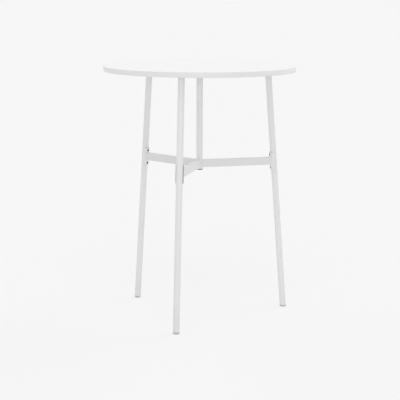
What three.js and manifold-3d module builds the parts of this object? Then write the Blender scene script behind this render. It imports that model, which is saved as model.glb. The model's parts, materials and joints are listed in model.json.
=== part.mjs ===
// Round standing meeting table. A laminated top stands on three splayed tube legs. A Y-shaped
// spreader of three arms, welded to a centre post, carries half-round saddles that are screwed
// to the legs, and the post runs up to the middle of the top.
// Millimetres, +Z up. The origin is on the floor under the middle of the top, one leg towards -Y.
import * as THREE from "three";
import { mergeVertices } from "three/addons/utils/BufferGeometryUtils.js";
import Module from "manifold-3d";

// Table
const tableHeight = 1050;
const topDiameter = 800;
const topThickness = 21;

// Layers of the top
const laminateThickness = 1;
const backerThickness = 1;
const bandThickness = 2;
const glueLine = 0.1;

// Tube stock of the legs and the centre post
const tubeDiameter = 27;
const tubeWall = 2;

// Leg axes: how far in from the top's edge they start, and how far out their feet stand beyond that
const legInset = 100;
const legSpread = 80;
const legs = [
  { name: "front", azimuth: -90 },
  { name: "right", azimuth: 30 },
  { name: "left", azimuth: 150 },
];

// Round plates welded to the tops of the legs and the post
const flangeDiameter = 76;
const flangeThickness = 4;
const flangeScrewInset = 10;
const flangeScrewAngles = [60, 180, 300];

// Spreader arms, of rectangular tube
const armMiddleHeight = 640.5;
const armHeight = 33;
const armThickness = 20;
const armWall = 2;
const armCorner = 2.5;

// Saddles at the arms' outer ends. The liners between saddle and leg stop short of the saddle's sides.
const saddleWall = 2;
const saddleHalfAngle = 85;
const linerThickness = 2;
const linerHalfAngle = 55;
const armToScrew = 11;
const screwToSaddleEnd = 10;

// Centre post, below the arms
const postBelowArms = 6.5;

// Push-in end pieces of the tubes
const capHead = 3;
const capSpigot = 16;
const glideHead = 6.5;
const glideSpigot = 24;
const ribPlace = 6;
const ribHeight = 3;
const ribDepth = 0.6;
const spigotTaper = 1.2;

// Countersunk screws, with 90 degree heads, and the nuts that the saddle screws turn into
const saddleScrew = { head: 9.5, shank: 5, length: 14, rim: 0.3, recess: 0.2 };
const saddleScrewSocket = { acrossFlats: 3, depth: 1.6 };
const woodScrew = { head: 8.6, shank: 4.5, length: 17, rim: 0.3, recess: 0.2 };
const woodScrewCross = { span: 4.4, width: 1.2, depth: 1.4 };
const woodScrewPoint = 4;
const pilotAllowance = 1;
const rivetNut = { sleeve: 7, bulge: 9.5, bulgeLength: 2.5, length: 12 };

// Clearance between neighbouring pieces
const fit = 0.2;

// Facets
const topFacets = 72;
const roundFacets = 32;
const flangeFacets = 32;
const arcFacets = 16;
const cornerFacets = 3;
const screwFacets = 12;
const socketSides = 6;

// Sizes that follow
const topRadius = topDiameter / 2;
const boardRadius = topRadius - bandThickness - glueLine;
const underside = tableHeight - topThickness;
const coreThickness = topThickness - laminateThickness - backerThickness - 2 * glueLine;
const coreBottom = underside + backerThickness + glueLine;
const laminateBottom = tableHeight - laminateThickness;
const tubeRadius = tubeDiameter / 2;
const boreRadius = tubeRadius - tubeWall;
const flangeBottom = underside - fit - flangeThickness;
const flangeScrewRadius = flangeDiameter / 2 - flangeScrewInset;
const tubeTop = flangeBottom - fit;
const legRadiusAtTop = topRadius - legInset;
const legRadiusAtFloor = legRadiusAtTop + legSpread;
const splay = Math.atan2(legSpread, underside);
const linerInner = tubeRadius + fit;
const linerOuter = linerInner + linerThickness;
const saddleInner = linerOuter + fit;
const saddleOuter = saddleInner + saddleWall;
const screwOffset = armHeight / 2 + armToScrew;
const saddleHeight = 2 * (screwOffset + screwToSaddleEnd);
const saddleMiddle = armMiddleHeight / Math.cos(splay);
const postBottom = armMiddleHeight - armHeight / 2 - postBelowArms;
const saddleScrewHeights = [saddleMiddle + screwOffset, saddleMiddle - screwOffset];
const blockSize = 3 * tubeDiameter;

// Finishes
const whiteLaminate = new THREE.MeshStandardMaterial({ color: 0xf3f3f1, roughness: 0.45 });
const whiteEdge = new THREE.MeshStandardMaterial({ color: 0xededeb, roughness: 0.5 });
const boardCore = new THREE.MeshStandardMaterial({ color: 0xb89a6e, roughness: 0.9 });
const whitePowderCoat = new THREE.MeshStandardMaterial({ color: 0xebebea, roughness: 0.55 });
const blackPlastic = new THREE.MeshStandardMaterial({ color: 0x232323, roughness: 0.6 });
const greyNylon = new THREE.MeshStandardMaterial({ color: 0xb3b5a8, roughness: 0.6 });
const darkSteel = new THREE.MeshStandardMaterial({ color: 0x6a6a6c, roughness: 0.4, metalness: 1 });
const zincSteel = new THREE.MeshStandardMaterial({ color: 0xb9bcc0, roughness: 0.35, metalness: 1 });

const wasm = await Module();
wasm.setup();

// Turns a closed geometry into a solid, from its positions alone.
function toSolid(geometry) {
  const bare = geometry.clone();
  bare.deleteAttribute("normal");
  bare.deleteAttribute("uv");
  const merged = mergeVertices(bare);
  const data = { numProp: 3, vertProperties: merged.attributes.position.array };
  data.triVerts = new Uint32Array(merged.index.array);
  return new wasm.Manifold(new wasm.Mesh(data));
}

function toGeometry(solid) {
  const data = solid.getMesh();
  const geometry = new THREE.BufferGeometry();
  geometry.setAttribute("position", new THREE.BufferAttribute(data.vertProperties, 3));
  geometry.setIndex(new THREE.BufferAttribute(data.triVerts, 1));
  geometry.computeVertexNormals();
  return geometry;
}

function cut(geometry, tools) {
  const body = tools.reduce((left, tool) => left.subtract(toSolid(tool)), toSolid(geometry));
  return toGeometry(body);
}

function keepInside(geometry, mould) {
  return toGeometry(toSolid(geometry).intersect(toSolid(mould)));
}

// Turns a profile of [radius, height] pairs around Z. The outer side of the profile runs upwards.
function turned(profile, facets) {
  const points = profile.map(([radius, height]) => new THREE.Vector2(radius, height));
  return new THREE.LatheGeometry(points, facets).rotateX(Math.PI / 2);
}

function disc(radius, thickness, facets) {
  return turned([[0, 0], [radius, 0], [radius, thickness], [0, thickness]], facets);
}

function ring(inner, outer, height, facets) {
  const profile = [[inner, 0], [outer, 0], [outer, height], [inner, height], [inner, 0]];
  return turned(profile, facets);
}

function extruded(shape, depth, curveSegments) {
  return new THREE.ExtrudeGeometry(shape, { depth, curveSegments, bevelEnabled: false });
}

// Part of a round shell about Z, open towards +X, that reaches half an angle in degrees to each side.
function roundShell(inner, outer, height, halfAngle) {
  const half = THREE.MathUtils.degToRad(halfAngle);
  const shape = new THREE.Shape();
  shape.absarc(0, 0, outer, Math.PI - half, Math.PI + half, false);
  shape.absarc(0, 0, inner, Math.PI + half, Math.PI - half, true);
  return extruded(shape, height, arcFacets);
}

function roundedRectangle(path, width, height, corner) {
  const x = width / 2;
  const y = height / 2;
  path.absarc(x - corner, y - corner, corner, 0, Math.PI / 2, false);
  path.absarc(corner - x, y - corner, corner, Math.PI / 2, Math.PI, false);
  path.absarc(corner - x, corner - y, corner, Math.PI, 1.5 * Math.PI, false);
  path.absarc(x - corner, corner - y, corner, 1.5 * Math.PI, 2 * Math.PI, false);
  path.closePath();
  return path;
}

// Countersunk screw along +Z, with the flat of its head at zero.
function screwBody(screw, point) {
  const coneEnd = screw.rim + (screw.head - screw.shank) / 2;
  const profile = [
    [0, 0],
    [screw.head / 2, 0],
    [screw.head / 2, screw.rim],
    [screw.shank / 2, coneEnd],
    [screw.shank / 2, screw.length - point],
    [0, screw.length],
  ];
  return turned(profile, screwFacets);
}

// Countersink and through hole for a screw, open on the head's side.
function screwPocket(screw, depth) {
  const mouth = screw.head / 2 + fit;
  const hole = screw.shank / 2 + fit;
  const rim = screw.rim + fit;
  const profile = [
    [0, -screw.head],
    [mouth, -screw.head],
    [mouth, rim],
    [hole, rim + mouth - hole],
    [hole, depth],
    [0, depth],
  ];
  return turned(profile, screwFacets);
}

// Plug for a tube end about Z: the head below zero, a spigot with one rib above.
function tubePlug(headHeight, spigotLength) {
  const rib = boreRadius - fit;
  const root = rib - ribDepth;
  const profile = [
    [0, -headHeight],
    [tubeRadius, -headHeight],
    [tubeRadius, -fit],
    [root, -fit],
    [root, ribPlace],
    [rib, ribPlace],
    [rib, ribPlace + ribHeight],
    [root, ribPlace + ribHeight],
    [root - spigotTaper, spigotLength],
    [0, spigotLength],
  ];
  return turned(profile, roundFacets);
}

function addPiece(group, name, geometry, material) {
  const mesh = new THREE.Mesh(geometry, material);
  mesh.name = name;
  group.add(mesh);
  return mesh;
}

const table = new THREE.Group();

// Leg frame: Z runs up the leg axis from the floor, -X faces the centre post.
const legPlace = new THREE.Matrix4().makeRotationY(-splay).setPosition(legRadiusAtFloor, 0, 0);
const intoLegFrame = legPlace.clone().invert();

// Screw places on a flange, about its middle
const flangeScrewPlaces = flangeScrewAngles.map((angle) => {
  const turn = THREE.MathUtils.degToRad(angle);
  return new THREE.Vector3(flangeScrewRadius, 0, 0).applyAxisAngle(new THREE.Vector3(0, 0, 1), turn);
});

// Each flange's name, the turn of its side of the table and its distance from the middle
const flanges = legs.map((leg) => {
  return { name: leg.name, azimuth: leg.azimuth, radius: legRadiusAtTop };
});
flanges.push({ name: "post", azimuth: legs[0].azimuth, radius: 0 });

function sideGroup(azimuth) {
  const group = new THREE.Group();
  group.rotation.z = THREE.MathUtils.degToRad(azimuth);
  table.add(group);
  return group;
}

// Round holes in the top's layers for all the flange screws, from one height to another.
function topHoles(radius, from, to) {
  return flanges.flatMap((flange) => {
    return flangeScrewPlaces.map((place) => {
      const hole = disc(radius, to - from, screwFacets);
      hole.translate(flange.radius + place.x, place.y, from);
      return hole.rotateZ(THREE.MathUtils.degToRad(flange.azimuth));
    });
  });
}

function addTop() {
  const pilotRadius = woodScrew.shank / 2 + fit;
  const pilotEnd = flangeBottom + woodScrew.recess + woodScrew.length + pilotAllowance;
  const laminate = disc(boardRadius, laminateThickness, topFacets);
  addPiece(table, "top_laminate", laminate, whiteLaminate).position.z = laminateBottom;
  const core = disc(boardRadius, coreThickness, topFacets).translate(0, 0, coreBottom);
  const corePilots = topHoles(pilotRadius, underside - fit, pilotEnd);
  addPiece(table, "top_core", cut(core, corePilots), boardCore);
  const backer = disc(boardRadius, backerThickness, topFacets).translate(0, 0, underside);
  const backerHoles = topHoles(pilotRadius, underside - fit, coreBottom);
  addPiece(table, "top_backer", cut(backer, backerHoles), whiteLaminate);
  const band = ring(topRadius - bandThickness, topRadius, topThickness, topFacets);
  addPiece(table, "edge_band", band, whiteEdge).position.z = underside;
}

function addFlange(flange) {
  const group = sideGroup(flange.azimuth);
  const plate = disc(flangeDiameter / 2, flangeThickness, flangeFacets);
  const pockets = flangeScrewPlaces.map((place) => {
    const pocket = screwPocket(woodScrew, flangeThickness + woodScrew.head);
    return pocket.translate(place.x, place.y, woodScrew.recess);
  });
  const plateMesh = addPiece(group, `${flange.name}_flange`, cut(plate, pockets), whitePowderCoat);
  plateMesh.position.set(flange.radius, 0, flangeBottom);
  flangeScrewPlaces.forEach((place, index) => {
    const { span, width, depth } = woodScrewCross;
    const slots = [[span, width], [width, span]].map(([x, y]) => new THREE.BoxGeometry(x, y, 2 * depth));
    const screw = cut(screwBody(woodScrew, woodScrewPoint), slots);
    const name = `${flange.name}_flange_screw_${index + 1}`;
    const mesh = addPiece(group, name, screw, zincSteel);
    mesh.position.set(flange.radius + place.x, place.y, flangeBottom + woodScrew.recess);
  });
}

function addPost() {
  const tube = ring(boreRadius, tubeRadius, tubeTop - postBottom, roundFacets);
  addPiece(table, "post_tube", tube, whitePowderCoat).position.z = postBottom;
  const cap = tubePlug(capHead + fit, capSpigot);
  addPiece(table, "post_cap", cap, blackPlastic).position.z = postBottom;
}

// Turns a piece made along +Z to point along +X, and sets it at a place on the leg.
function acrossLeg(geometry, x, height) {
  return geometry.rotateY(Math.PI / 2).translate(x, 0, height);
}

// Block for level cuts across a leg, in the leg frame, with its middle at a radius and a height.
function levelBlock(radius, height) {
  const block = new THREE.BoxGeometry(blockSize, blockSize, blockSize);
  return block.translate(radius, 0, height).applyMatrix4(intoLegFrame);
}

function addLeg(leg) {
  const axis = new THREE.Group();
  axis.position.x = legRadiusAtFloor;
  axis.rotation.y = -splay;
  sideGroup(leg.azimuth).add(axis);

  const legLength = underside / Math.cos(splay);
  const nutHoles = saddleScrewHeights.map((height) => {
    return acrossLeg(disc(rivetNut.sleeve / 2 + fit, tubeDiameter, screwFacets), -tubeDiameter, height);
  });
  const aboveTube = levelBlock(legRadiusAtTop, tubeTop + blockSize / 2);
  const tube = ring(boreRadius, tubeRadius, legLength - glideHead, roundFacets);
  tube.translate(0, 0, glideHead);
  const tubeCuts = [aboveTube, ...nutHoles];
  addPiece(axis, `${leg.name}_leg_tube`, cut(tube, tubeCuts), whitePowderCoat);

  // The glide's base is cut level with the floor.
  const floor = levelBlock(legRadiusAtFloor, -blockSize / 2);
  const plug = tubePlug(glideHead + tubeRadius * Math.tan(splay) + fit, glideSpigot);
  const glide = cut(plug.translate(0, 0, glideHead), [floor]);
  addPiece(axis, `${leg.name}_glide`, glide, greyNylon);

  const headFace = -(saddleOuter - saddleScrew.recess);
  const pockets = saddleScrewHeights.map((height) => {
    return acrossLeg(screwPocket(saddleScrew, saddleScrew.length), headFace, height);
  });
  const saddleBottom = saddleMiddle - saddleHeight / 2;
  const saddle = roundShell(saddleInner, saddleOuter, saddleHeight, saddleHalfAngle);
  saddle.translate(0, 0, saddleBottom);
  addPiece(axis, `${leg.name}_saddle`, cut(saddle, pockets), whitePowderCoat);
  const liner = roundShell(linerInner, linerOuter, saddleHeight, linerHalfAngle);
  liner.translate(0, 0, saddleBottom);
  addPiece(axis, `${leg.name}_saddle_liner`, cut(liner, pockets), blackPlastic);

  saddleScrewHeights.forEach((height, index) => {
    const place = index === 0 ? "upper" : "lower";
    addSaddleScrew(axis, `${leg.name}_${place}`, headFace, height);
  });
}

function addSaddleScrew(axis, name, headFace, height) {
  const socketRadius = saddleScrewSocket.acrossFlats / Math.sqrt(3);
  const socket = disc(socketRadius, 2 * saddleScrewSocket.depth, socketSides);
  socket.translate(0, 0, -saddleScrewSocket.depth);
  const screw = cut(screwBody(saddleScrew, fit), [socket]);
  addPiece(axis, `${name}_saddle_screw`, acrossLeg(screw, headFace, height), darkSteel);

  // The nut lies flush in the tube's wall, and its bulge bears on the bore.
  const hole = saddleScrew.shank / 2 + fit;
  const sleeve = rivetNut.sleeve / 2;
  const bulge = rivetNut.bulge / 2;
  const flush = Math.sqrt(tubeRadius ** 2 - sleeve ** 2);
  const bulgeStart = flush - Math.sqrt(boreRadius ** 2 - bulge ** 2) + fit;
  const bulgeEnd = bulgeStart + rivetNut.bulgeLength;
  const profile = [
    [hole, 0],
    [sleeve, 0],
    [sleeve, bulgeStart],
    [bulge, bulgeStart],
    [bulge, bulgeEnd],
    [sleeve, bulgeEnd],
    [sleeve, rivetNut.length],
    [hole, rivetNut.length],
    [hole, 0],
  ];
  const nut = acrossLeg(turned(profile, screwFacets), -flush, height);
  addPiece(axis, `${name}_rivet_nut`, nut, zincSteel);
}

function addArm(leg) {
  const outerEnd = legRadiusAtFloor - armMiddleHeight * Math.tan(splay);
  const section = roundedRectangle(new THREE.Shape(), armHeight, armThickness, armCorner);
  const innerCorner = Math.max(armCorner - armWall, fit);
  const bore = new THREE.Path();
  roundedRectangle(bore, armHeight - 2 * armWall, armThickness - 2 * armWall, innerCorner);
  section.holes.push(bore);
  const bar = extruded(section, outerEnd, cornerFacets).rotateY(Math.PI / 2);

  // Neighbouring arms stay on their own side of mitre planes through the post's axis.
  const mitre = new THREE.Shape();
  mitre.moveTo(fit, 0);
  mitre.lineTo(fit + outerEnd, -outerEnd * Math.tan(Math.PI / legs.length));
  mitre.lineTo(fit + outerEnd, outerEnd * Math.tan(Math.PI / legs.length));
  const sector = extruded(mitre, 2 * armHeight, 1).translate(0, 0, -armHeight);

  const postTool = disc(tubeRadius + fit, 2 * armHeight, roundFacets).translate(0, 0, -armHeight);
  const saddleTool = disc(saddleOuter + fit, saddleHeight, roundFacets);
  saddleTool.translate(0, 0, saddleMiddle - saddleHeight / 2).applyMatrix4(legPlace);
  saddleTool.translate(0, 0, -armMiddleHeight);
  const arm = cut(keepInside(bar, sector), [postTool, saddleTool]);
  addPiece(sideGroup(leg.azimuth), `${leg.name}_arm`, arm, whitePowderCoat).position.z = armMiddleHeight;
}

addTop();
flanges.forEach(addFlange);
addPost();
legs.forEach(addLeg);
legs.forEach(addArm);

export default table;
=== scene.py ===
# Round standing meeting table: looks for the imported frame. Metres, +Z up, front leg towards -Y.
import json
import math

import bpy
from mathutils import Matrix, Vector


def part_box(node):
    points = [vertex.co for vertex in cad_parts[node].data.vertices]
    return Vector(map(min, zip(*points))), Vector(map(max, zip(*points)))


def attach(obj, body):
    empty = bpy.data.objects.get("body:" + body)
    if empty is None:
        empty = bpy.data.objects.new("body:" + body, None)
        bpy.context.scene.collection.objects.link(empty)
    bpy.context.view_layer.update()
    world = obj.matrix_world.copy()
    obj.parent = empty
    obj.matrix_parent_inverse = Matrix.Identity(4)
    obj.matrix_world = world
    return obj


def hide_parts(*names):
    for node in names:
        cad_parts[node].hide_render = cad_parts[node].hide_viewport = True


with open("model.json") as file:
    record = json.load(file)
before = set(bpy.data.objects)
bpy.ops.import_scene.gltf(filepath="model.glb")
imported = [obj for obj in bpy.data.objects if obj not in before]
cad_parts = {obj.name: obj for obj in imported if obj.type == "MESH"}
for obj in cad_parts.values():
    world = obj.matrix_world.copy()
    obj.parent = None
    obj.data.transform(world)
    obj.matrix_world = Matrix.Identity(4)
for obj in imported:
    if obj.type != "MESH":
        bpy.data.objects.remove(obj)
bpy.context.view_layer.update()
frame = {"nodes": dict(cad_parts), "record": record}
print("frame loaded:", len(frame["nodes"]), "nodes")

mm = 0.001
mergeWithin = 0.002 * mm        # points closer than this are one point
touching = 0.01 * mm            # near enough, when edges are picked by place
cutterSides = 128
countersinkSides = 48
legNames = ("front", "right", "left")
mountPoints = {mount["name"]: Vector(mount["pos_m"]) for mount in frame["record"]["mounts"]}


# Selecting, editing and finishing a piece

def selectOnly(piece):
    bpy.ops.object.select_all(action="DESELECT")
    piece.select_set(True)
    bpy.context.view_layer.objects.active = piece


def openEdit(piece, kind="VERT"):
    selectOnly(piece)
    bpy.ops.object.mode_set(mode="EDIT")
    bpy.ops.mesh.select_mode(type=kind)
    bpy.ops.mesh.select_all(action="SELECT")


def closeEdit():
    bpy.ops.object.mode_set(mode="OBJECT")


def pickEdges(piece, test):
    # leaves the piece in edit mode with the edges that pass the test selected
    openEdit(piece, "EDGE")
    bpy.ops.mesh.select_all(action="DESELECT")
    closeEdit()
    points = piece.data.vertices
    for edge in piece.data.edges:
        edge.select = test(points[edge.vertices[0]].co, points[edge.vertices[1]].co)
    bpy.ops.object.mode_set(mode="EDIT")


def arc(centre, radius, start, end, steps):
    # points of a round corner in (radius, height), angles in degrees
    points = []
    for step in range(steps + 1):
        angle = math.radians(start + (end - start) * step / steps)
        points.append((centre[0] + radius * math.cos(angle), centre[1] + radius * math.sin(angle)))
    return points


def turnProfile(name, profile, steps, start=0.0, sweep=360.0):
    # draws a profile of (radius, height) points with extrudes, then spins it about Z;
    # a negative angle turns it anticlockwise
    bpy.ops.object.select_all(action="DESELECT")
    bpy.ops.mesh.primitive_plane_add(size=mm)
    piece = bpy.context.object
    piece.name = name
    openEdit(piece)
    bpy.ops.mesh.merge(type="CENTER")
    turn = math.radians(start)
    at = Vector()
    for index, (radius, height) in enumerate(profile):
        point = Vector((radius * math.cos(turn), radius * math.sin(turn), height))
        if index == 0:
            bpy.ops.transform.translate(value=point - at)
        else:
            bpy.ops.mesh.extrude_vertices_move(TRANSFORM_OT_translate={"value": point - at})
        at = point
    bpy.ops.mesh.select_all(action="SELECT")
    bpy.ops.mesh.remove_doubles(threshold=mergeWithin)
    bpy.ops.mesh.spin(steps=steps, angle=-math.radians(sweep), center=(0, 0, 0), axis=(0, 0, 1))
    bpy.ops.mesh.select_all(action="SELECT")
    bpy.ops.mesh.remove_doubles(threshold=mergeWithin)
    if sweep < 360:
        bpy.ops.mesh.select_all(action="DESELECT")
        bpy.ops.mesh.select_non_manifold()
        bpy.ops.mesh.fill_holes(sides=len(profile) + 2)
        bpy.ops.mesh.select_all(action="SELECT")
    bpy.ops.mesh.normals_make_consistent(inside=False)
    closeEdit()
    return piece


def place(piece, matrix):
    # moves the mesh itself, so the object stays at the origin
    piece.data.transform(matrix)
    piece.data.update()
    return piece


def carve(piece, cutter):
    # cuts the cutter's shape out of the piece and uses it up
    selectOnly(piece)
    cut = piece.modifiers.new("carve", "BOOLEAN")
    cut.operation = "DIFFERENCE"
    cut.solver = "EXACT"
    cut.object = cutter
    bpy.ops.object.modifier_apply(modifier=cut.name)
    bpy.data.objects.remove(cutter)
    openEdit(piece)
    bpy.ops.mesh.dissolve_degenerate(threshold=mergeWithin)
    closeEdit()


def cutterCylinder(radius, length, middle, turn=Matrix()):
    bpy.ops.object.select_all(action="DESELECT")
    bpy.ops.mesh.primitive_cylinder_add(vertices=cutterSides, radius=radius, depth=length)
    cutter = bpy.context.object
    return place(cutter, turn @ Matrix.Translation(middle))


def copyPiece(piece, name):
    copied = piece.copy()
    copied.data = piece.data.copy()
    copied.name = name
    bpy.context.scene.collection.objects.link(copied)
    return copied


def dress(piece, material, node=None, smooth=35.0):
    selectOnly(piece)
    bpy.ops.object.shade_smooth_by_angle(angle=math.radians(smooth))
    piece.data.materials.clear()
    piece.data.materials.append(material)
    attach(piece, "root")
    if node:
        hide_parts(node)
    return piece


# Shared surface effects, as node groups

peel = {"dimpleDetail": 1.5, "grainDetail": 2.0}
wear = {"patchDetail": 4.0, "streakDetail": 6.0, "streakDistortion": 1.5, "faintest": 0.12, "fullest": 0.42}


def addNode(tree, kind, **settings):
    node = tree.nodes.new(kind)
    for key, value in settings.items():
        setattr(node, key, value)
    return node


def newGroup(name, inputs, output):
    # every group takes a place on the surface and some numbers, and gives one value
    tree = bpy.data.node_groups.new(name, "ShaderNodeTree")
    tree.interface.new_socket("place", in_out="INPUT", socket_type="NodeSocketVector")
    for label in inputs:
        tree.interface.new_socket(label, in_out="INPUT", socket_type="NodeSocketFloat")
    tree.interface.new_socket(output, in_out="OUTPUT", socket_type="NodeSocketFloat")
    return tree, addNode(tree, "NodeGroupInput"), addNode(tree, "NodeGroupOutput")


def addNoise(tree, given, scale, detail, distortion=0.0):
    noise = addNode(tree, "ShaderNodeTexNoise")
    noise.inputs["Detail"].default_value = detail
    noise.inputs["Distortion"].default_value = distortion
    tree.links.new(given.outputs["place"], noise.inputs["Vector"])
    tree.links.new(given.outputs[scale], noise.inputs["Scale"])
    return noise.outputs["Fac"]


def makeOrangePeel():
    # soft dimples of sprayed or moulded skin, with a finer grain on top
    inputs = ("dimplesPerMetre", "grainPerMetre", "grainShare")
    tree, given, out = newGroup("orangePeel", inputs, "height")
    blend = addNode(tree, "ShaderNodeMix", data_type="FLOAT")
    tree.links.new(given.outputs["grainShare"], blend.inputs["Factor"])
    tree.links.new(addNoise(tree, given, "dimplesPerMetre", peel["dimpleDetail"]), blend.inputs["A"])
    tree.links.new(addNoise(tree, given, "grainPerMetre", peel["grainDetail"]), blend.inputs["B"])
    tree.links.new(blend.outputs["Result"], out.inputs["height"])
    return tree


def makeHandling():
    # broad, faint patches where hands, cloths and shoes have been: a mask from 0 to 1
    tree, given, out = newGroup("handling", ("patchesPerMetre", "streaksPerMetre"), "mask")
    patches = addNoise(tree, given, "patchesPerMetre", wear["patchDetail"])
    streaks = addNoise(tree, given, "streaksPerMetre", wear["streakDetail"], wear["streakDistortion"])
    times = addNode(tree, "ShaderNodeMath", operation="MULTIPLY")
    spread = addNode(tree, "ShaderNodeMapRange", interpolation_type="SMOOTHSTEP")
    spread.inputs["From Min"].default_value = wear["faintest"]
    spread.inputs["From Max"].default_value = wear["fullest"]
    tree.links.new(patches, times.inputs[0])
    tree.links.new(streaks, times.inputs[1])
    tree.links.new(times.outputs["Value"], spread.inputs["Value"])
    tree.links.new(spread.outputs["Result"], out.inputs["mask"])
    return tree


def makeNearFloor():
    # 1 at the floor, fading out upwards: shoe dust on the lowest stretch
    tree, given, out = newGroup("nearFloor", ("reach",), "mask")
    split = addNode(tree, "ShaderNodeSeparateXYZ")
    fade = addNode(tree, "ShaderNodeMapRange", interpolation_type="SMOOTHSTEP")
    fade.inputs["To Min"].default_value = 1.0
    fade.inputs["To Max"].default_value = 0.0
    tree.links.new(given.outputs["place"], split.inputs["Vector"])
    tree.links.new(split.outputs["Z"], fade.inputs["Value"])
    tree.links.new(given.outputs["reach"], fade.inputs["From Max"])
    tree.links.new(fade.outputs["Result"], out.inputs["mask"])
    return tree


orangePeel = makeOrangePeel()
handling = makeHandling()
nearFloor = makeNearFloor()
print("surface groups ready")


def startMaterial(name, metallic=0.0):
    material = bpy.data.materials.new(name)
    material.use_nodes = True
    tree = material.node_tree
    shader = tree.nodes["Principled BSDF"]
    shader.inputs["Metallic"].default_value = metallic
    where = addNode(tree, "ShaderNodeTexCoord")
    return material, tree, shader, where.outputs["Object"]


def useGroup(tree, group, where, finish, labels):
    # puts a group on the surface, with its numbers from the finish
    node = addNode(tree, "ShaderNodeGroup", node_tree=group)
    tree.links.new(where, node.inputs["place"])
    for label in labels:
        node.inputs[label].default_value = finish[label]
    return node.outputs[0]


def roughSkin(tree, shader, where, finish):
    height = useGroup(tree, orangePeel, where, finish, ("dimplesPerMetre", "grainPerMetre", "grainShare"))
    bump = addNode(tree, "ShaderNodeBump")
    bump.inputs["Distance"].default_value = finish["depth"]
    bump.inputs["Strength"].default_value = finish["strength"]
    tree.links.new(height, bump.inputs["Height"])
    tree.links.new(bump.outputs["Normal"], shader.inputs["Normal"])


def tintBy(tree, mask, clean, marked):
    mix = addNode(tree, "ShaderNodeMix", data_type="RGBA")
    mix.inputs["A"].default_value = (*clean, 1)
    mix.inputs["B"].default_value = (*marked, 1)
    tree.links.new(mask, mix.inputs["Factor"])
    return mix.outputs["Result"]


def rangeBy(tree, mask, low, high):
    spread = addNode(tree, "ShaderNodeMapRange")
    spread.inputs["To Min"].default_value = low
    spread.inputs["To Max"].default_value = high
    tree.links.new(mask, spread.inputs["Value"])
    return spread.outputs["Result"]


def dustBy(tree, where, marks, colour, finish):
    # dust settles on the marks that are near the floor
    low = useGroup(tree, nearFloor, where, finish, ("reach",))
    both = addNode(tree, "ShaderNodeMath", operation="MULTIPLY")
    tree.links.new(low, both.inputs[0])
    tree.links.new(marks, both.inputs[1])
    mix = addNode(tree, "ShaderNodeMix", data_type="RGBA")
    mix.inputs["B"].default_value = (*finish["dusty"], 1)
    tree.links.new(colour, mix.inputs["A"])
    tree.links.new(both.outputs["Value"], mix.inputs["Factor"])
    return mix.outputs["Result"]


def makeSkin(name, finish, metallic=0.0):
    # a colour that wears towards another, a roughness that follows the wear, and dimples
    material, tree, shader, where = startMaterial(name, metallic)
    roughSkin(tree, shader, where, finish)
    marks = useGroup(tree, handling, where, finish, ("patchesPerMetre", "streaksPerMetre"))
    colour = tintBy(tree, marks, finish["colour"], finish["worn"])
    if "dusty" in finish:
        colour = dustBy(tree, where, marks, colour, finish)
    tree.links.new(colour, shader.inputs["Base Color"])
    tree.links.new(rangeBy(tree, marks, *finish["rough"]), shader.inputs["Roughness"])
    return material


# Finishes: colours in linear light, bump depth in metres

powderCoat = {
    "colour": (0.80, 0.80, 0.812), "worn": (0.785, 0.785, 0.795), "rough": (0.30, 0.38),
    "depth": 0.03 * mm, "strength": 0.55, "dimplesPerMetre": 650, "grainPerMetre": 4000, "grainShare": 0.3,
    "patchesPerMetre": 9, "streaksPerMetre": 60, "dusty": (0.745, 0.743, 0.735), "reach": 0.16,
}
armPaintedShade = 0.96            # painted shade: the arms take the legs' powder coat made darker, standing in for the shade they sit in under the top
armShadedCoat = dict(powderCoat)
for key in ("colour", "worn"):
    armShadedCoat[key] = [armPaintedShade * value for value in powderCoat[key]]
laminate = {
    "colour": (0.875, 0.875, 0.878), "worn": (0.86, 0.86, 0.86), "rough": (0.4, 0.52),
    "depth": 0.02 * mm, "strength": 0.5, "dimplesPerMetre": 1600, "grainPerMetre": 6000, "grainShare": 0.35,
    "patchesPerMetre": 6, "streaksPerMetre": 35,
}
edgePlastic = {
    "colour": (0.795, 0.795, 0.806), "worn": (0.78, 0.78, 0.788), "rough": (0.36, 0.48),
    "depth": 0.02 * mm, "strength": 0.5, "dimplesPerMetre": 1200, "grainPerMetre": 5000, "grainShare": 0.5,
    "patchesPerMetre": 14, "streaksPerMetre": 80,
}
blackMoulding = {
    "colour": (0.022, 0.022, 0.023), "worn": (0.05, 0.05, 0.05), "rough": (0.5, 0.65),
    "depth": 0.06 * mm, "strength": 0.7, "dimplesPerMetre": 2500, "grainPerMetre": 7000, "grainShare": 0.5,
    "patchesPerMetre": 60, "streaksPerMetre": 300,
}
nylon = {
    "colour": (0.58, 0.59, 0.475), "worn": (0.50, 0.505, 0.405), "rough": (0.46, 0.62),
    "depth": 0.06 * mm, "strength": 0.6, "dimplesPerMetre": 1800, "grainPerMetre": 6000, "grainShare": 0.4,
    "patchesPerMetre": 50, "streaksPerMetre": 260,
}
darkScrews = {
    "colour": (0.13, 0.13, 0.135), "worn": (0.24, 0.24, 0.245), "rough": (0.32, 0.5),
    "depth": 0.02 * mm, "strength": 0.4, "dimplesPerMetre": 3000, "grainPerMetre": 9000, "grainShare": 0.6,
    "patchesPerMetre": 150, "streaksPerMetre": 700,
}
zincPlate = dict(darkScrews, colour=(0.50, 0.51, 0.53), worn=(0.40, 0.405, 0.41))
board = {
    "chipLight": (0.55, 0.40, 0.24), "chipDark": (0.34, 0.22, 0.12), "chipsPerMetre": 420, "rough": 0.85,
    "depth": 0.3 * mm, "strength": 0.8, "dimplesPerMetre": 500, "grainPerMetre": 2500, "grainShare": 0.3,
}


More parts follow.
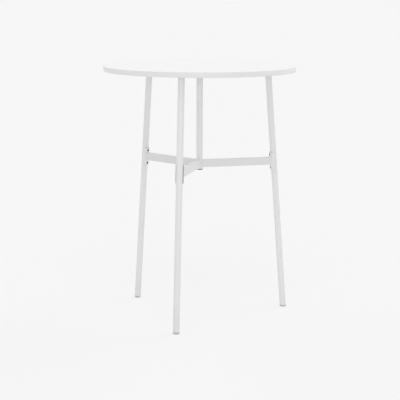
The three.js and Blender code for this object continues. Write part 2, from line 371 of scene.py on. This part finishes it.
def makeBoard():
    # pressed chips, seen only if the top is taken apart
    material, tree, shader, where = startMaterial("particleBoard")
    shader.inputs["Roughness"].default_value = board["rough"]
    chips = addNode(tree, "ShaderNodeTexVoronoi")
    chips.inputs["Scale"].default_value = board["chipsPerMetre"]
    tree.links.new(where, chips.inputs["Vector"])
    shade = addNode(tree, "ShaderNodeSeparateColor")
    tree.links.new(chips.outputs["Color"], shade.inputs["Color"])
    colour = tintBy(tree, shade.outputs["Red"], board["chipLight"], board["chipDark"])
    tree.links.new(colour, shader.inputs["Base Color"])
    roughSkin(tree, shader, where, board)
    return material


whitePowderCoat = makeSkin("whitePowderCoat", powderCoat)
# painted shade: the arms' material is a darker copy of the legs' powder coat, same paint
spreaderShadedCoat = makeSkin("spreaderShadedPowderCoat", armShadedCoat)
whiteLaminate = makeSkin("whiteLaminate", laminate)
whiteEdgeBand = makeSkin("whiteEdgeBand", edgePlastic)
blackPlastic = makeSkin("blackMoulding", blackMoulding)
greyNylon = makeSkin("greyNylon", nylon)
darkSteel = makeSkin("darkScrewSteel", darkScrews, metallic=1.0)
zincSteel = makeSkin("zincSteel", zincPlate, metallic=1.0)
particleBoard = makeBoard()
print("finishes ready")


# Places that several pieces share, read from the frame

bandLow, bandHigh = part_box("edge_band")
laminateLow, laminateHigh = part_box("top_laminate")
backerLow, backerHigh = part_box("top_backer")
postLow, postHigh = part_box("post_tube")
flangeLow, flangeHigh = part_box("post_flange")
armLow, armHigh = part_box("front_arm")
capLow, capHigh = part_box("post_cap")
tubeRadius = postHigh.x
armMiddle = (armLow.z + armHigh.z) / 2
frontFoot = mountPoints["front_foot"]


def middleOf(node):
    low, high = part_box(node)
    return (low + high) / 2


splay = math.atan2(middleOf("front_flange").y - frontFoot.y, bandLow.z)     # lean of each leg


def sideMatrix(name):
    # X runs from the post towards the leg
    foot = mountPoints[name + "_foot"]
    return Matrix.Rotation(math.atan2(foot.y, foot.x), 4, "Z")


def legMatrix(name):
    # Z runs up the leg from its foot, -X faces the centre post
    foot = mountPoints[name + "_foot"]
    return Matrix.Translation(foot) @ sideMatrix(name) @ Matrix.Rotation(-splay, 4, "Y")


# Top: laminate, edge band and balancing sheet

top = {"steps": 288, "bandRound": 1.0 * mm, "bandSteps": 5, "sheetRound": 0.12 * mm, "glueLine": 0.1 * mm}


def makeTop():
    boardRadius = laminateHigh.x
    soft = top["sheetRound"]
    for name, low, high in (("top_laminate", laminateLow.z, laminateHigh.z),
                            ("top_backer", backerLow.z, backerHigh.z)):
        profile = [(0, low), (boardRadius - soft, low), (boardRadius, low + soft),
                   (boardRadius, high - soft), (boardRadius - soft, high), (0, high)]
        sheet = turnProfile(name + "_sheet", profile, top["steps"])
        dress(sheet, whiteLaminate, name)
    inner = boardRadius + top["glueLine"]
    outer = bandHigh.x
    low, high = bandLow.z, bandHigh.z
    edge = top["bandRound"]
    profile = [(inner, low)]
    profile += arc((outer - edge, low + edge), edge, -90, 0, top["bandSteps"])
    profile += arc((outer - edge, high - edge), edge, 0, 90, top["bandSteps"])
    profile += [(inner, high), (inner, low)]
    band = turnProfile("edge_band_lipping", profile, top["steps"])
    dress(band, whiteEdgeBand, "edge_band", smooth=50)


makeTop()
print("top made")


# Legs and centre post: tubes, with their push-in ends

tube = {"wall": 2 * mm, "endRound": 0.5 * mm, "endSteps": 4, "steps": 96, "gap": 0.2 * mm,
        "nutHole": 3.7 * mm}
glide = {"head": 6.5 * mm, "spigot": 24 * mm, "ribs": 4, "edge": 0.8 * mm, "edgeSteps": 4,
         "shoulderRound": 0.4 * mm, "shoulderSteps": 3, "below": 3 * mm}
cap = {"edge": 1.0 * mm, "edgeSteps": 5, "spigot": 16 * mm, "ribs": 3}
barb = {"depth": 0.6 * mm, "start": 0.6, "slope": 0.5, "tipTaper": 1.2 * mm}    # start and slope in pitches


def tubeProfile(low, high, rings=()):
    # rings are heights with a loop of their own, which keep later cuts between them
    outer, inner, edge = tubeRadius, tubeRadius - tube["wall"], tube["endRound"]
    profile = [(inner, low)] + arc((outer - edge, low + edge), edge, -90, 0, tube["endSteps"])
    profile += [(outer, ring) for ring in rings] + [(outer, high), (inner, high)]
    return profile + [(inner, ring) for ring in reversed(rings)] + [(inner, low)]


def ribbedSpigot(length, ribs):
    # barbed stem from the head's upper face: each rib slopes in and stops short
    rib = tubeRadius - tube["wall"] - tube["gap"]
    root = rib - barb["depth"]
    pitch = length / (ribs + 1)
    profile = [(root, -tube["gap"])]
    for index in range(ribs):
        base = pitch * (index + barb["start"])
        profile += [(root, base), (rib, base), (root, base + barb["slope"] * pitch)]
    return profile + [(root - barb["tipTaper"], length), (0, length)]


def makePost():
    post = turnProfile("post_tube_round", tubeProfile(postLow.z, postHigh.z), tube["steps"])
    dress(post, whitePowderCoat, "post_tube")
    edge = cap["edge"]
    headHeight = postLow.z - capLow.z
    profile = [(0, -headHeight)]
    profile += arc((tubeRadius - edge, edge - headHeight), edge, -90, 0, cap["edgeSteps"])
    profile += [(tubeRadius, -tube["gap"])] + ribbedSpigot(cap["spigot"], cap["ribs"])
    plug = turnProfile("post_cap_moulding", profile, tube["steps"])
    place(plug, Matrix.Translation((0, 0, postLow.z)))
    dress(plug, blackPlastic, "post_cap")


def cutLevel(piece, height, above):
    # cuts the piece level at a height and keeps the lower or the upper part
    openEdit(piece)
    bpy.ops.mesh.bisect(plane_co=(0, 0, height), plane_no=(0, 0, 1), clear_outer=above,
                        clear_inner=not above, threshold=mergeWithin)


def makeLegs():
    # one leg and its glide are modelled in place at the front, then copied round
    leg = legMatrix("front")
    length = bandLow.z / math.cos(splay)
    rings = (saddleMiddle - saddle["height"] / 2, saddleMiddle + saddle["height"] / 2)
    stem = turnProfile("legTube", tubeProfile(glide["head"], length, rings), tube["steps"])
    for offset in (saddle["screwOffset"], -saddle["screwOffset"]):
        inward = Matrix.Translation((-tubeRadius, 0, saddleMiddle + offset))
        across = inward @ Matrix.Rotation(math.pi / 2, 4, "Y")
        carve(stem, cutterCylinder(tube["nutHole"], 2 * tubeRadius, (0, 0, 0), across))
    place(stem, leg)
    cutLevel(stem, flangeLow.z - tube["gap"], above=True)
    bpy.ops.mesh.bridge_edge_loops()
    closeEdit()

    shoulder = glide["head"] - tube["gap"]
    soft = glide["shoulderRound"]
    profile = [(0, -glide["below"]), (tubeRadius, -glide["below"])]
    profile += arc((tubeRadius - soft, shoulder - soft), soft, 0, 90, glide["shoulderSteps"])
    spigot = ribbedSpigot(glide["spigot"], glide["ribs"])
    profile += [(radius, height + glide["head"]) for radius, height in spigot]
    foot = turnProfile("legGlide", profile, tube["steps"])
    place(foot, leg)
    cutLevel(foot, 0.0, above=False)
    bpy.ops.mesh.edge_face_add()
    closeEdit()
    pickEdges(foot, lambda a, b: abs(a.z) < touching and abs(b.z) < touching)
    bpy.ops.mesh.bevel(offset=glide["edge"], segments=glide["edgeSteps"], affect="EDGES")
    closeEdit()

    for name in legNames:
        around = sideMatrix(name) @ sideMatrix("front").inverted()
        dress(place(copyPiece(stem, name + "_leg_round_tube"), around),
              whitePowderCoat, name + "_leg_tube")
        dress(place(copyPiece(foot, name + "_glide_moulding"), around),
              greyNylon, name + "_glide", smooth=50)
    for pattern in (stem, foot):
        bpy.data.objects.remove(pattern)


# Plates under the top, with their countersunk screws

flange = {"edge": 0.6 * mm, "edgeSteps": 4, "steps": 96, "screwReach": 28 * mm, "screwTurns": (60, 180, 300)}
woodScrew = {"head": 8.6 * mm, "shank": 4.5 * mm, "length": 17 * mm, "rim": 0.3 * mm, "recess": 0.2 * mm,
             "steps": 32, "softRim": 0.15 * mm, "coreShare": 0.72, "threads": 7, "threadStart": 0.3,
             "threadRise": 0.35, "taperThreads": 3, "crossSpan": 4.4 * mm, "crossWidth": 1.1 * mm,
             "crossDepth": 1.6 * mm, "crossRound": 0.4 * mm, "crossSteps": 2, "hole": 12 * mm}


def countersink(screw, depth, gap):
    mouth, hole = screw["head"] / 2 + gap, screw["shank"] / 2 + gap
    low = -screw["head"]
    rim = screw["rim"] + gap
    profile = [(0, low), (mouth, low), (mouth, rim), (hole, rim + mouth - hole), (hole, depth), (0, depth)]
    return turnProfile("countersink", profile, countersinkSides)


def screwPlaces():
    for turn in flange["screwTurns"]:
        angle = math.radians(turn)
        yield Vector((flange["screwReach"] * math.cos(angle), flange["screwReach"] * math.sin(angle), 0))


def makeWoodScrew():
    head, shank, rim = woodScrew["head"] / 2, woodScrew["shank"] / 2, woodScrew["rim"]
    soft, rise = woodScrew["softRim"], woodScrew["threadRise"]
    cone = rim + head - shank
    core = woodScrew["coreShare"] * shank
    pitch = (woodScrew["length"] - cone) / (woodScrew["threads"] + 1)
    profile = [(0, 0), (head - soft, 0), (head, soft), (head, rim), (core, cone)]
    for index in range(woodScrew["threads"]):
        base = cone + pitch * (index + woodScrew["threadStart"])
        taper = min(1.0, (woodScrew["threads"] - index) / woodScrew["taperThreads"])
        profile.append((core * taper, base))
        profile.append((shank * taper, base + rise * pitch))
        profile.append((core * taper, base + 2 * rise * pitch))
    profile.append((0, woodScrew["length"]))
    screw = turnProfile("woodScrew", profile, woodScrew["steps"])
    span, width = woodScrew["crossSpan"], woodScrew["crossWidth"]
    for size in ((span, width), (width, span)):
        bpy.ops.object.select_all(action="DESELECT")
        bpy.ops.mesh.primitive_cube_add(size=1)
        slot = place(bpy.context.object, Matrix.Diagonal((*size, 2 * woodScrew["crossDepth"], 1)))
        pickEdges(slot, lambda a, b: a.z > 0 and b.z > 0)
        bpy.ops.mesh.bevel(offset=woodScrew["crossRound"], segments=woodScrew["crossSteps"], affect="EDGES")
        closeEdit()
        carve(screw, slot)
    return screw


def makeFlanges():
    screw = makeWoodScrew()
    low, high = flangeLow.z, flangeHigh.z
    outer, edge = flangeHigh.x, flange["edge"]
    profile = [(0, low)] + arc((outer - edge, low + edge), edge, -90, 0, flange["edgeSteps"])
    profile += [(outer, high), (0, high)]
    plate = turnProfile("flangePlate", profile, flange["steps"])
    for spot in screwPlaces():
        pocket = countersink(woodScrew, woodScrew["hole"], tube["gap"])
        carve(plate, place(pocket, Matrix.Translation(spot + Vector((0, 0, low + woodScrew["recess"])))))
    for name in legNames + ("post",):
        middle = middleOf(name + "_flange")
        side = sideMatrix("front" if name == "post" else name)
        spotTurn = Matrix.Translation((middle.x, middle.y, 0)) @ side
        dress(place(copyPiece(plate, name + "_flange_plate"), spotTurn),
              whitePowderCoat, name + "_flange")
        for index, spot in enumerate(screwPlaces()):
            node = f"{name}_flange_screw_{index + 1}"
            seat = Matrix.Translation(spot + Vector((0, 0, low + woodScrew["recess"])))
            dress(place(copyPiece(screw, node + "_threaded"), spotTurn @ seat), zincSteel, node)
    bpy.data.objects.remove(plate)
    bpy.data.objects.remove(screw)


makeFlanges()
print("plates made")


# Spreader: saddles with liners and screws, then the arms

saddle = {"wall": 2 * mm, "liner": 2 * mm, "height": 75 * mm, "gap": 0.2 * mm, "edge": 0.6 * mm,
          "edgeSteps": 3, "linerEdge": 0.3 * mm, "halfAngle": 85, "linerHalfAngle": 55, "steps": 64,
          "nearDegrees": 0.2, "screwOffset": 27.5 * mm}
saddleScrew = {"head": 9.5 * mm, "shank": 5 * mm, "length": 14 * mm, "rim": 0.3 * mm, "recess": 0.2 * mm,
               "steps": 64, "rimIn": 0.2 * mm, "rimDown": 0.12 * mm, "tip": 0.6 * mm,
               "socket": 3 * mm, "socketSides": 6, "socketDepth": 1.6 * mm}
saddleMiddle = armMiddle / math.cos(splay)
saddleOuter = tubeRadius + 2 * saddle["gap"] + saddle["liner"] + saddle["wall"]
headFace = saddleOuter - saddleScrew["recess"]


def intoLeg(height):
    # from a screw's own Z to the leg's X, with the head towards the post
    return Matrix.Translation((-headFace, 0, height)) @ Matrix.Rotation(math.pi / 2, 4, "Y")


def halfShell(name, inner, outer, edge, half):
    low = saddleMiddle - saddle["height"] / 2
    high = saddleMiddle + saddle["height"] / 2
    soft = saddle["edgeSteps"]
    profile = [(inner, low)] + arc((outer - edge, low + edge), edge, -90, 0, soft)
    profile += arc((outer - edge, high - edge), edge, 0, 90, soft) + [(inner, high), (inner, low)]
    shell = turnProfile(name, profile, saddle["steps"], start=180 - half, sweep=2 * half)

    def onEnd(point):
        # outer corner of the shell's two straight ends
        turn = math.degrees(math.atan2(abs(point.y), -point.x))
        return abs(turn - half) < saddle["nearDegrees"] and math.hypot(point.x, point.y) > outer - touching

    pickEdges(shell, lambda a, b: onEnd(a) and onEnd(b) and a.y * b.y > 0)
    bpy.ops.mesh.bevel(offset=edge, segments=soft, affect="EDGES")
    closeEdit()
    for height in (saddleMiddle + saddle["screwOffset"], saddleMiddle - saddle["screwOffset"]):
        carve(shell, place(countersink(saddleScrew, saddleScrew["length"], saddle["gap"]), intoLeg(height)))
    return shell


def makeSaddleScrew():
    head, shank, rim = saddleScrew["head"] / 2, saddleScrew["shank"] / 2, saddleScrew["rim"]
    cone = rim + head - shank
    length, tip = saddleScrew["length"], saddleScrew["tip"]
    profile = [(0, 0), (head - saddleScrew["rimIn"], 0), (head, saddleScrew["rimDown"]), (head, rim),
               (shank, cone), (shank, length - tip), (shank - tip, length), (0, length)]
    screw = turnProfile("saddleScrew", profile, saddleScrew["steps"])
    bpy.ops.object.select_all(action="DESELECT")
    sides = saddleScrew["socketSides"]
    corner = saddleScrew["socket"] / 2 / math.cos(math.pi / sides)      # the key's size is across its flats
    bpy.ops.mesh.primitive_cylinder_add(vertices=sides, radius=corner, depth=2 * saddleScrew["socketDepth"])
    carve(screw, bpy.context.object)
    return screw


def makeSaddles():
    linerInner = tubeRadius + saddle["gap"]
    linerOuter = linerInner + saddle["liner"]
    shell = halfShell("saddleShell", linerOuter + saddle["gap"], saddleOuter, saddle["edge"],
                      saddle["halfAngle"])
    liner = halfShell("saddleLiner", linerInner, linerOuter, saddle["linerEdge"], saddle["linerHalfAngle"])
    screw = makeSaddleScrew()
    for name in legNames:
        leg = legMatrix(name)
        dress(place(copyPiece(shell, name + "_saddle_shell"), leg),
              whitePowderCoat, name + "_saddle")
        dress(place(copyPiece(liner, name + "_liner_strip"), leg),
              blackPlastic, name + "_saddle_liner")
        for spot, offset in (("upper", saddle["screwOffset"]), ("lower", -saddle["screwOffset"])):
            node = f"{name}_{spot}_saddle_screw"
            seat = leg @ intoLeg(saddleMiddle + offset)
            dress(place(copyPiece(screw, node + "_socket_head"), seat), darkSteel, node)
    for pattern in (shell, liner, screw):
        bpy.data.objects.remove(pattern)


arm = {"thickness": 20 * mm, "corner": 2.5 * mm, "cornerSteps": 5, "gap": 0.2 * mm}


def makeArms():
    # a bar from the post's axis to the leg's, coped at both ends
    height = armHigh.z - armLow.z
    legLine = -frontFoot.y - armMiddle * math.tan(splay)            # leg axis at the arm's height
    bpy.ops.object.select_all(action="DESELECT")
    bpy.ops.mesh.primitive_cube_add(size=1)
    bar = place(bpy.context.object, Matrix.Translation((legLine / 2, 0, armMiddle))
                @ Matrix.Diagonal((legLine, arm["thickness"], height, 1)))
    pickEdges(bar, lambda a, b: abs(a.x - b.x) > legLine / 2)
    bpy.ops.mesh.bevel(offset=arm["corner"], segments=arm["cornerSteps"], affect="EDGES")
    closeEdit()
    carve(bar, cutterCylinder(tubeRadius + arm["gap"], 4 * height, (0, 0, armMiddle)))
    lean = Matrix.Translation((-frontFoot.y, 0, 0)) @ Matrix.Rotation(-splay, 4, "Y")
    carve(bar, cutterCylinder(saddleOuter + arm["gap"], 4 * height, (0, 0, saddleMiddle), lean))
    # the arms get the darkened coat, painted shade for their place under the top
    for name in legNames:
        dress(place(copyPiece(bar, name + "_arm_bar"), sideMatrix(name)),
              spreaderShadedCoat, name + "_arm")
    bpy.data.objects.remove(bar)


makeSaddles()
makeArms()
print("spreader made")
makePost()
makeLegs()
print("legs and post made")


# Weld seams, under the powder coat

weld = {"radius": 1.5 * mm, "roundSteps": 2, "ripple": 0.1, "ripplesPerMetre": 550, "pointGap": 0.6 * mm,
        "cornerSteps": 6}


def beadAlong(name, points):
    # closed bead that swells and narrows along its path
    path = bpy.data.curves.new(name, "CURVE")
    path.dimensions = "3D"
    path.bevel_depth = weld["radius"]
    path.bevel_resolution = weld["roundSteps"]
    spline = path.splines.new("POLY")
    spline.points.add(len(points) - 1)
    spline.use_cyclic_u = True
    around = sum((points[i] - points[i - 1]).length for i in range(len(points)))
    waves = round(around * weld["ripplesPerMetre"])
    run = 0.0
    for index, point in enumerate(points):
        run += (point - points[index - 1]).length if index else 0.0
        spline.points[index].co = (*point, 1)
        spline.points[index].radius = 1 + weld["ripple"] * math.sin(2 * math.pi * waves * run / around)
    bead = bpy.data.objects.new(name, path)
    bpy.context.scene.collection.objects.link(bead)
    selectOnly(bead)
    bpy.ops.object.convert(target="MESH")
    return bpy.context.object


def armOutline():
    # points round the arm's section, as (across, height)
    x, z, corner = arm["thickness"] / 2, (armHigh.z - armLow.z) / 2, arm["corner"]
    corners = [(x - corner, z - corner, 0), (corner - x, z - corner, 90),
               (corner - x, corner - z, 180), (x - corner, corner - z, 270)]
    outline = []
    for cx, cz, start in corners:
        outline += arc((cx, cz), corner, start, start + 90, weld["cornerSteps"])
    dense = []
    for index, (across, up) in enumerate(outline):
        beforeAcross, beforeUp = outline[index - 1]
        pieces = max(1, round(math.hypot(across - beforeAcross, up - beforeUp) / weld["pointGap"]))
        for step in range(pieces):
            share = step / pieces
            dense.append((beforeAcross + (across - beforeAcross) * share, beforeUp + (up - beforeUp) * share))
    return dense


def makeWelds():
    atPost, atSaddle = [], []
    for y, up in armOutline():
        z = armMiddle + up
        atPost.append(Vector((math.sqrt(tubeRadius ** 2 - y * y), y, z)))
        out = -math.sqrt(saddleOuter ** 2 - y * y)                  # across the leg, in its own frame
        x = -frontFoot.y + (out - z * math.sin(splay)) / math.cos(splay)
        atSaddle.append(Vector((x, y, z)))
    count = round(2 * math.pi * tubeRadius / weld["pointGap"])
    ring = [Matrix.Rotation(2 * math.pi * index / count, 3, "Z") @ Vector((tubeRadius, 0, 0))
            for index in range(count)]
    postBead = beadAlong("postBead", atPost)
    saddleBead = beadAlong("saddleBead", atSaddle)
    flangeBead = beadAlong("flangeBead", ring)

    def lay(bead, name, matrix):
        dress(place(copyPiece(bead, name), matrix), whitePowderCoat, smooth=60)

    for name in legNames:
        lay(postBead, name + "_arm_post_weld", sideMatrix(name))
        lay(saddleBead, name + "_arm_saddle_weld", sideMatrix(name))
    for name in legNames + ("post",):
        middle = middleOf(name + "_flange")
        lay(flangeBead, name + "_flange_weld", Matrix.Translation((middle.x, middle.y, flangeLow.z)))
    for pattern in (postBead, saddleBead, flangeBead):
        bpy.data.objects.remove(pattern)


makeWelds()
print("welds made")


# CAD pieces that stay as they are, out of sight inside

def keepNode(node, material):
    solid = frame["nodes"][node]
    solid.data.materials.clear()
    solid.data.materials.append(material)


keepNode("top_core", particleBoard)
for legName in legNames:
    for spot in ("upper", "lower"):
        keepNode(f"{legName}_{spot}_rivet_nut", zincSteel)
print("inner pieces finished")


# Studio: floor, light and camera

studio = {
    "floorSize": 120.0, "floorColour": (0.82, 0.82, 0.82), "floorRough": 0.9,
    "floorPaper": (0.960, 0.960, 0.960), "paperShare": 0.7, "backdrop": (0.922, 0.922, 0.922), "sky": 0.66,
}
lamps = {   # strength, spread in degrees, tilt from straight down, turn towards the right
    "frontLight": (0.39, 20.0, 85, 13),
    "highLight": (0.40, 40.0, 42, 13),
    "topLight": (0.19, 70.0, 0, 0),
    "backRightLight": (0.90, 50.0, 60, 140),
    "backLeftLight": (0.43, 50.0, 60, -120),
}


def cameraSees(tree):
    # 1 for camera, glossy and transmission rays
    rays = addNode(tree, "ShaderNodeLightPath")
    either = addNode(tree, "ShaderNodeMath", operation="MAXIMUM")
    tree.links.new(rays.outputs["Is Camera Ray"], either.inputs[0])
    tree.links.new(rays.outputs["Is Glossy Ray"], either.inputs[1])
    anyRay = addNode(tree, "ShaderNodeMath", operation="MAXIMUM")
    tree.links.new(either.outputs["Value"], anyRay.inputs[0])
    tree.links.new(rays.outputs["Is Transmission Ray"], anyRay.inputs[1])
    return anyRay.outputs["Value"]


def makeFloor():
    bpy.ops.object.select_all(action="DESELECT")
    bpy.ops.mesh.primitive_plane_add(size=studio["floorSize"])
    floor = bpy.context.object
    floor.name = "studio_floor"
    material = bpy.data.materials.new("studioFloor")
    material.use_nodes = True
    tree = material.node_tree
    shader = tree.nodes["Principled BSDF"]
    shader.inputs["Base Color"].default_value = (*studio["floorColour"], 1)
    shader.inputs["Roughness"].default_value = studio["floorRough"]
    shader.inputs["Specular IOR Level"].default_value = 0.0         # paper has no gloss
    paper = addNode(tree, "ShaderNodeEmission")
    paper.inputs["Color"].default_value = (*studio["floorPaper"], 1)
    share = addNode(tree, "ShaderNodeMath", operation="MULTIPLY")
    share.inputs[1].default_value = studio["paperShare"]
    tree.links.new(cameraSees(tree), share.inputs[0])
    mix = addNode(tree, "ShaderNodeMixShader")
    tree.links.new(share.outputs["Value"], mix.inputs["Fac"])
    tree.links.new(shader.outputs["BSDF"], mix.inputs[1])
    tree.links.new(paper.outputs["Emission"], mix.inputs[2])
    geometry = addNode(tree, "ShaderNodeNewGeometry")
    below = addNode(tree, "ShaderNodeMixShader")                    # clear when seen from below
    tree.links.new(geometry.outputs["Backfacing"], below.inputs["Fac"])
    tree.links.new(mix.outputs["Shader"], below.inputs[1])
    tree.links.new(addNode(tree, "ShaderNodeBsdfTransparent").outputs["BSDF"], below.inputs[2])
    tree.links.new(below.outputs["Shader"], tree.nodes["Material Output"].inputs["Surface"])
    floor.data.materials.append(material)


def makeWorld():
    world = bpy.data.worlds.new("studioWorld")
    bpy.context.scene.world = world
    world.use_nodes = True
    tree = world.node_tree
    sky = tree.nodes["Background"]
    sky.inputs["Color"].default_value = (1, 1, 1, 1)
    sky.inputs["Strength"].default_value = studio["sky"]
    paper = addNode(tree, "ShaderNodeBackground")
    paper.inputs["Color"].default_value = (*studio["backdrop"], 1)
    mix = addNode(tree, "ShaderNodeMixShader")
    tree.links.new(cameraSees(tree), mix.inputs["Fac"])
    tree.links.new(sky.outputs["Background"], mix.inputs[1])
    tree.links.new(paper.outputs["Background"], mix.inputs[2])
    tree.links.new(mix.outputs["Shader"], tree.nodes["World Output"].inputs["Surface"])


def makeSun(name, strength, spread, tilt, turn):
    lamp = bpy.data.lights.new(name, "SUN")
    lamp.energy = strength
    lamp.angle = math.radians(spread)
    sun = bpy.data.objects.new(name, lamp)
    sun.rotation_euler = (math.radians(tilt), 0, math.radians(turn))
    bpy.context.scene.collection.objects.link(sun)


makeFloor()
makeWorld()
for lampName, settings in lamps.items():
    makeSun(lampName, *settings)

# degrees and metres, with lens and sensor in millimetres
shot = {"azimuth": 13.89, "distance": 5.741, "height": 1.439, "pitch": 9.449, "roll": 0.1885,
        "lens": 124.02, "sensor": 36.0, "shiftX": 0.0016, "farthest": 400.0}


def makeCamera():
    data = bpy.data.cameras.new("photoCamera")
    data.sensor_width = shot["sensor"]
    data.lens = shot["lens"]
    data.shift_x = shot["shiftX"]
    data.clip_end = shot["farthest"]
    camera = bpy.data.objects.new("photoCamera", data)
    azimuth = math.radians(shot["azimuth"])
    stand = (shot["distance"] * math.sin(azimuth), -shot["distance"] * math.cos(azimuth), shot["height"])
    aim = Matrix.Rotation(azimuth, 4, "Z") @ Matrix.Rotation(math.radians(90 - shot["pitch"]), 4, "X")
    roll = Matrix.Rotation(math.radians(shot["roll"]), 4, "Z")
    camera.matrix_world = Matrix.Translation(stand) @ aim @ roll
    bpy.context.scene.collection.objects.link(camera)
    bpy.context.scene.camera = camera


makeCamera()
bpy.context.scene.view_settings.view_transform = "Standard"
print("studio ready")
